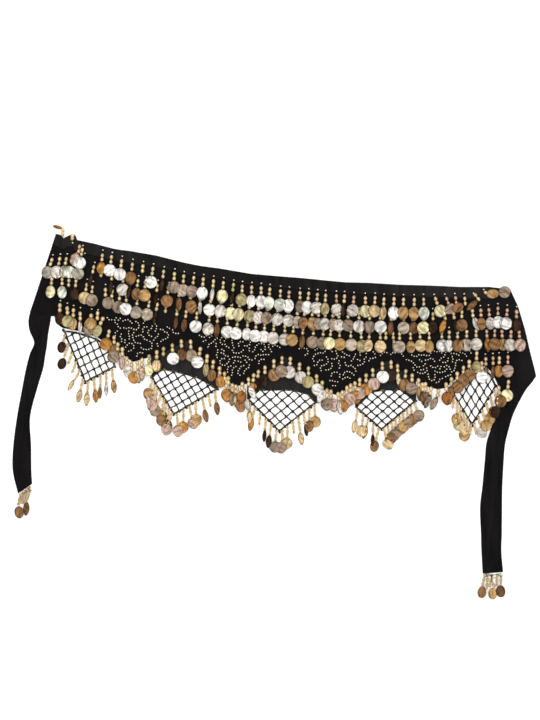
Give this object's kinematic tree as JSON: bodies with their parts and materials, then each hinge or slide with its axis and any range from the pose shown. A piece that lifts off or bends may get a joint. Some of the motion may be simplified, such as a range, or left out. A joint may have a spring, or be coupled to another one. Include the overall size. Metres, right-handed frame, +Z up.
{
  "type": "belly dance hip scarf",
  "caption": "Black hip scarf laid flat, with rows of bead and coin strings, a triangle hem, hanging square-mesh nets and two tie ends.",
  "frame": {"origin": "middle of the footprint, on the surface that the scarf lies on", "axes": "+X along the waist to the right, +Y from the hem to the waist, +Z up out of the scarf's outer side"},
  "size_m": [0.8374, 0.6078, 0.0101],
  "materials": {
    "panel_cloth": "matte black georgette over a stiff backing",
    "satin": "soft black satin, folded",
    "net_cord": "knotted black cord",
    "coins_and_beads": "stamped pale gold coins on pale gold glass beads"
  },
  "bodies": {
    "root": {"coin_row_a": "coins_and_beads", "coin_row_a_end": "coins_and_beads", "coin_row_b": "coins_and_beads", "coin_row_c": "coins_and_beads", "coin_row_d": "coins_and_beads", "corner_string_left": "coins_and_beads", "corner_string_right": "coins_and_beads", "hem_fringe_1": "coins_and_beads", "hem_fringe_10": "coins_and_beads", "hem_fringe_2": "coins_and_beads", "hem_fringe_3": "coins_and_beads", "hem_fringe_4": "coins_and_beads", "hem_fringe_5": "coins_and_beads", "hem_fringe_6": "coins_and_beads", "hem_fringe_7": "coins_and_beads", "hem_fringe_8": "coins_and_beads", "hem_fringe_9": "coins_and_beads", "hip_panel": "panel_cloth", "net_1": "net_cord", "net_2": "net_cord", "net_3": "net_cord", "net_4": "net_cord", "net_5": "net_cord", "net_fringe_1_left": "coins_and_beads", "net_fringe_1_right": "coins_and_beads", "net_fringe_2_left": "coins_and_beads", "net_fringe_2_right": "coins_and_beads", "net_fringe_3_left": "coins_and_beads", "net_fringe_3_right": "coins_and_beads", "net_fringe_4_left": "coins_and_beads", "net_fringe_4_right": "coins_and_beads", "net_fringe_5_left": "coins_and_beads", "net_fringe_5_right": "coins_and_beads", "satin_arch_1": "satin", "satin_arch_2": "satin", "satin_arch_3": "satin", "tie_left": "satin", "tie_right": "satin", "tie_tassel_left": "coins_and_beads", "tie_tassel_right": "coins_and_beads", "waist_casing": "satin"}
  },
  "joints": []
}
